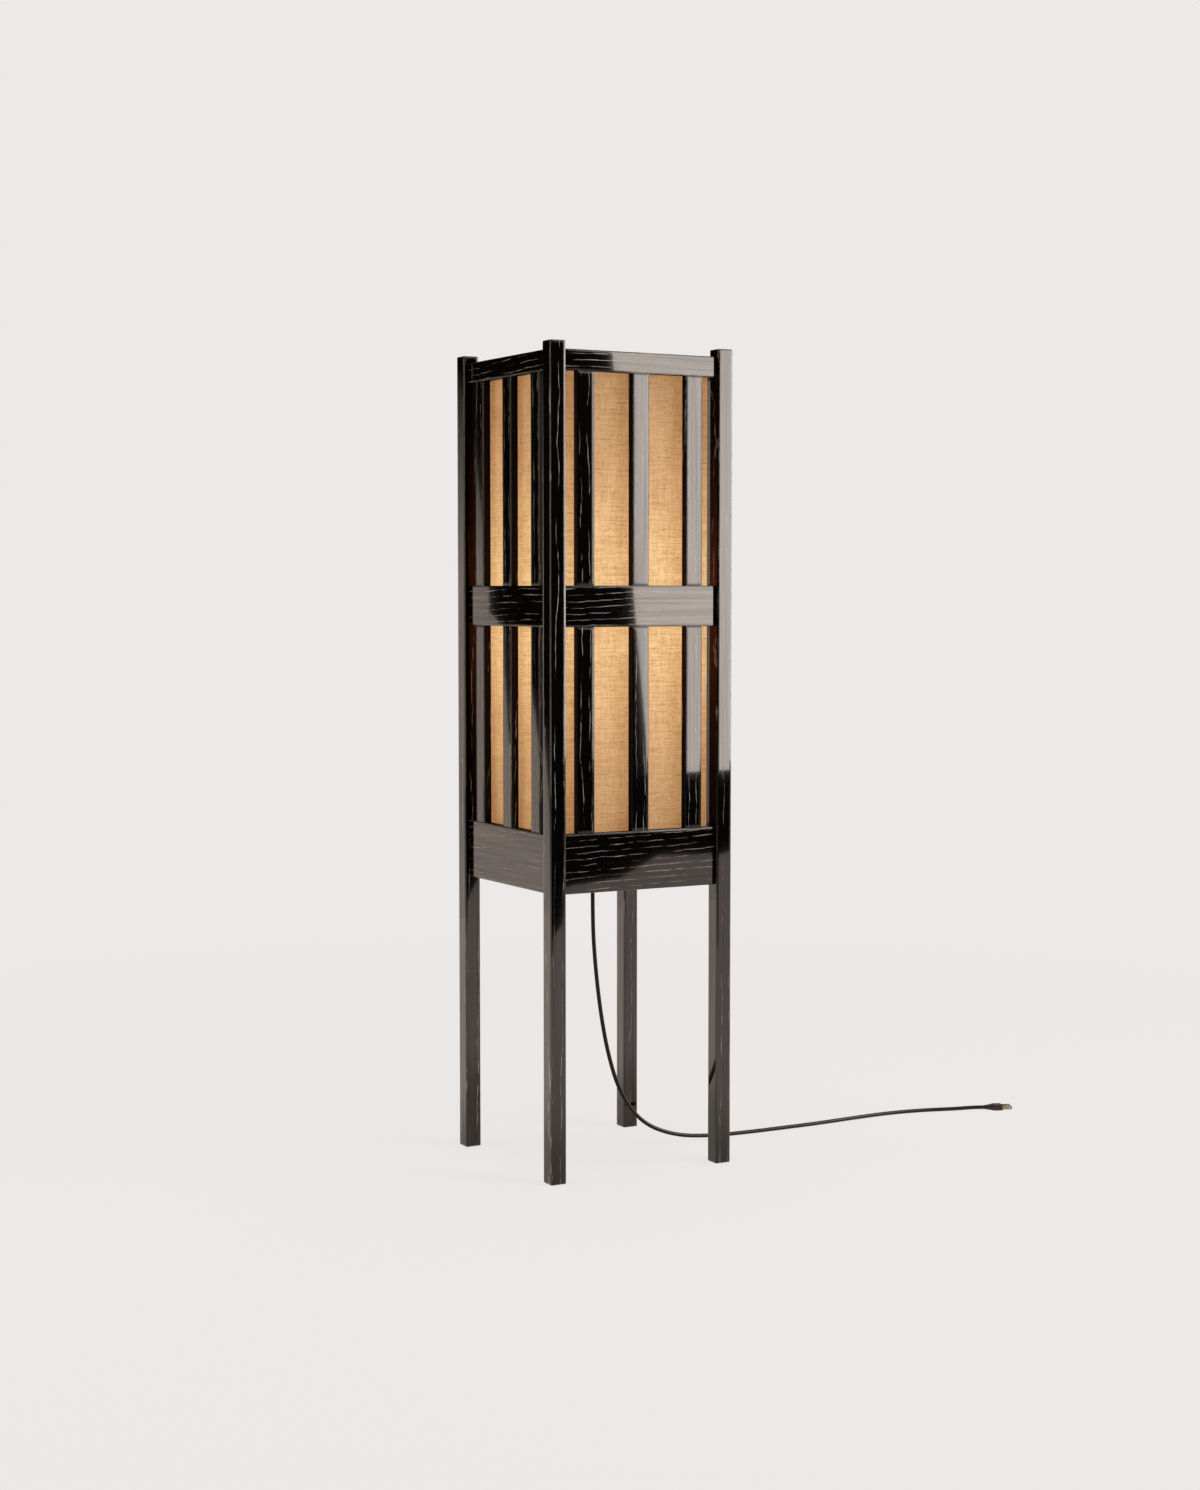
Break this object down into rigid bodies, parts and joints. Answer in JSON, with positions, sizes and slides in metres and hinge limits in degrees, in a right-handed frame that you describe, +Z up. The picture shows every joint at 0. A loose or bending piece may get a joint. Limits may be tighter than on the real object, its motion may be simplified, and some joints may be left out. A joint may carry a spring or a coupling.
{
  "type": "andon floor lamp",
  "caption": "Tall square floor lamp: a dark slatted wooden frame on long posts round a lift-out linen shade, with a screw-in bulb on a central pipe and a mains cord.",
  "frame": {"origin": "on the floor, under the middle of the square frame", "axes": "+Z up; -Y is the front face; the cord leaves the underside and lies towards +X"},
  "size_m": [0.916, 0.306, 1.219],
  "materials": {
    "ebonised_oak": "polished, black, with open grain",
    "plain_wood": "planed",
    "black_board": "painted black",
    "screw_steel": "zinc plated",
    "pipe_steel": "zinc plated",
    "black_iron": "satin",
    "holder_brass": "satin",
    "contact_brass": "bright",
    "blade_brass": "bright",
    "black_nylon": "moulded",
    "sleeve_rubber": "moulded",
    "cord_covering": "smooth, dark brown",
    "plug_vinyl": "moulded, dark brown",
    "phenolic": "moulded",
    "knob_plastic": "fluted",
    "bulb_solder": "soldered",
    "bulb_insulation": "glazed black",
    "bulb_metal": "rolled",
    "bulb_glass": "frosted inside",
    "shade_wire": "white",
    "shade_laminate": "translucent",
    "linen": "slubbed weave"
  },
  "bodies": {
    "frame": {"post_front_right": "ebonised_oak", "post_back_right": "ebonised_oak", "post_back_left": "ebonised_oak", "post_front_left": "ebonised_oak", "top_rail_front": "ebonised_oak", "mid_rail_front": "ebonised_oak", "apron_front": "ebonised_oak", "slat_1_front": "ebonised_oak", "slat_2_front": "ebonised_oak", "slat_3_front": "ebonised_oak", "top_rail_right": "ebonised_oak", "mid_rail_right": "ebonised_oak", "apron_right": "ebonised_oak", "slat_1_right": "ebonised_oak", "slat_2_right": "ebonised_oak", "slat_3_right": "ebonised_oak", "top_rail_back": "ebonised_oak", "mid_rail_back": "ebonised_oak", "apron_back": "ebonised_oak", "slat_1_back": "ebonised_oak", "slat_2_back": "ebonised_oak", "slat_3_back": "ebonised_oak", "top_rail_left": "ebonised_oak", "mid_rail_left": "ebonised_oak", "apron_left": "ebonised_oak", "slat_1_left": "ebonised_oak", "slat_2_left": "ebonised_oak", "slat_3_left": "ebonised_oak", "ledger_front": "plain_wood", "ledger_right": "plain_wood", "ledger_back": "plain_wood", "ledger_left": "plain_wood", "base_board": "black_board", "wood_screws": "screw_steel", "lamp_pipe": "pipe_steel", "pipe_flange": "black_iron", "pipe_washer": "screw_steel", "lock_nuts": "holder_brass", "cord_grip": "black_nylon", "cord_sleeve": "sleeve_rubber", "inner_lead": "cord_covering", "power_cord": "cord_covering", "plug_body": "plug_vinyl", "plug_blades": "blade_brass", "holder_cap": "holder_brass", "holder_shell": "holder_brass", "holder_core": "phenolic", "terminal_screws": "screw_steel", "screw_shell": "contact_brass", "centre_contact": "contact_brass"},
    "shade": {"linen_shade": "linen", "shade_liner": "shade_laminate", "shade_bottom_ring": "shade_wire", "shade_top_ring": "shade_wire", "shade_uprights": "shade_wire"},
    "bulb_contact": {"bulb_contact": "bulb_solder"},
    "bulb": {"bulb_insulator": "bulb_insulation", "bulb_base": "bulb_metal", "bulb_globe": "bulb_glass"},
    "switch_knob": {"switch_knob": "knob_plastic"}
  },
  "joints": [
    {"name": "shade_lift", "type": "slide", "parent": "frame", "child": "shade", "axis": [0, 0, 1], "range_m": [0, 0.75]},
    {"name": "bulb_rise", "type": "slide", "parent": "frame", "child": "bulb_contact", "axis": [0, 0, 1], "range_m": [0, 0.01452]},
    {"name": "bulb_turn", "type": "hinge", "parent": "bulb_contact", "child": "bulb", "pos_m": [0, 0, 0.79], "axis": [0, 0, 1], "range_deg": [0, 1440]},
    {"name": "switch_turn", "type": "hinge", "parent": "frame", "child": "switch_knob", "pos_m": [0.0195, 0, 0.7563], "axis": [1, 0, 0], "continuous": true}
  ],
  "couplings": [
    {"joint": "bulb_turn", "follows": "bulb_rise", "rad_per_m": 1730.9}
  ]
}
